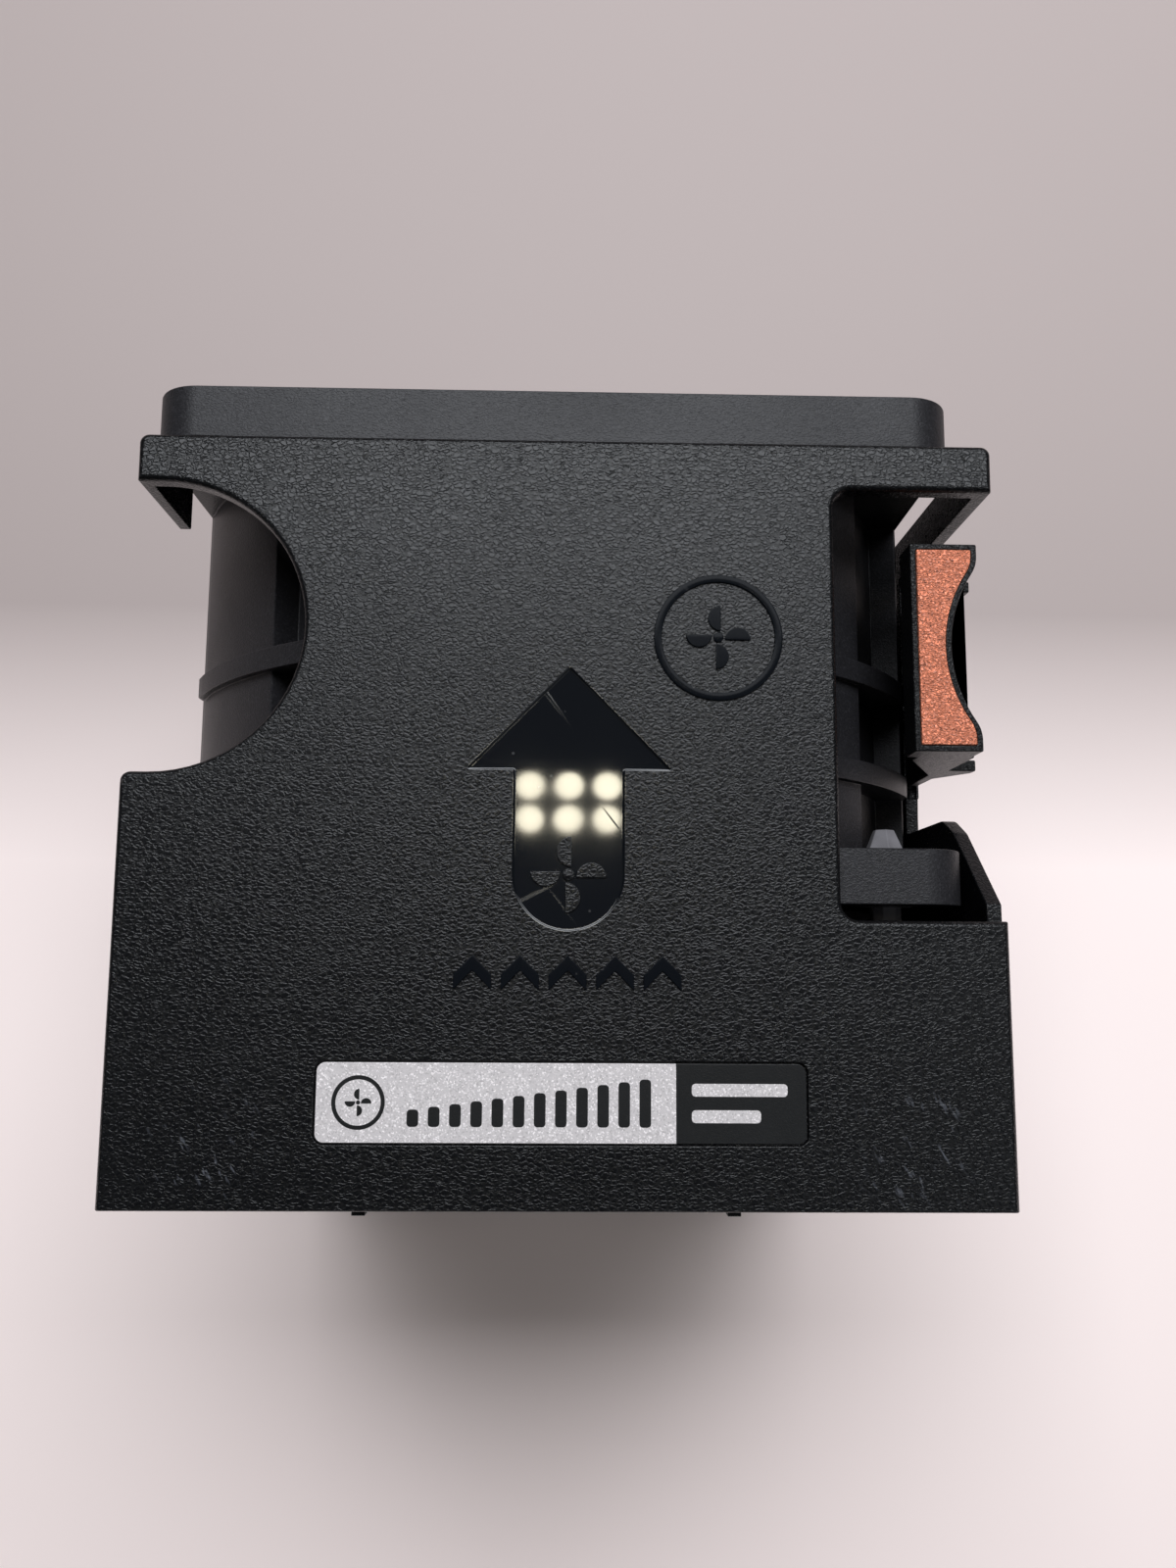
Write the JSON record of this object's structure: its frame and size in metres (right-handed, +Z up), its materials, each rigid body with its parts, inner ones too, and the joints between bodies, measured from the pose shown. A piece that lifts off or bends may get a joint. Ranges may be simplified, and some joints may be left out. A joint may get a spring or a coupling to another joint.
{
  "type": "server fan module",
  "caption": "Hot-swap fan module for a rack server: an axial fan in a moulded carrier with airflow arrow, finger notch, sprung latch and base connector.",
  "frame": {"origin": "centre of the module's base face, at mid width and mid depth", "axes": "+Z up to the arrow face, +Y along the airflow from inlet to outlet, +X towards the latch"},
  "size_m": [0.0642, 0.0593, 0.076],
  "materials": {
    "black_moulding": "grained",
    "label_film": "satin",
    "plated_steel": "satin",
    "connector_plastic": "satin",
    "contact_metal": "polished",
    "wire_jacket": "satin",
    "guard_moulding": "satin",
    "grey_rubber": "matte",
    "grey_moulding": "satin",
    "impeller_moulding": "satin",
    "magnet_ferrite": "matte",
    "brass": "turned",
    "bearing_steel": "polished",
    "lamination_steel": "satin",
    "former_plastic": "matte",
    "copper_wire": "enamelled",
    "board_laminate": "satin",
    "chip_plastic": "matte",
    "latch_moulding": "grained",
    "touch_plastic": "grained"
  },
  "bodies": {
    "module": {"carrier_shell": "black_moulding", "label_plate": "label_film", "base_cover": "black_moulding", "cover_screws": "plated_steel", "connector_housing": "connector_plastic", "connector_contacts": "contact_metal", "lead_wires": "wire_jacket", "inlet_guard": "guard_moulding", "isolator_pins": "grey_rubber", "fan_frame": "grey_moulding", "bearing_tube": "brass", "front_bearing_ring": "bearing_steel", "rear_bearing_ring": "bearing_steel", "stator_core": "lamination_steel", "stator_former": "former_plastic", "stator_windings": "copper_wire", "driver_board": "board_laminate", "board_components": "chip_plastic"},
    "rotor": {"impeller": "impeller_moulding", "rotor_yoke": "plated_steel", "ring_magnet": "magnet_ferrite", "shaft": "bearing_steel", "shaft_clip": "plated_steel", "front_bearing_race": "bearing_steel", "rear_bearing_race": "bearing_steel"},
    "latch": {"latch_arm": "latch_moulding", "touch_pad": "touch_plastic"}
  },
  "joints": [
    {"name": "impeller_spin", "type": "hinge", "parent": "module", "child": "rotor", "pos_m": [-0.00095, 0, 0.04435], "axis": [0, 1, 0], "continuous": true},
    {"name": "latch_press", "type": "hinge", "parent": "module", "child": "latch", "pos_m": [0.03055, 0.0106, 0.05467], "axis": [0, -1, 0], "range_deg": [0, 10], "stiffness_Nm_per_rad": 0.15}
  ]
}
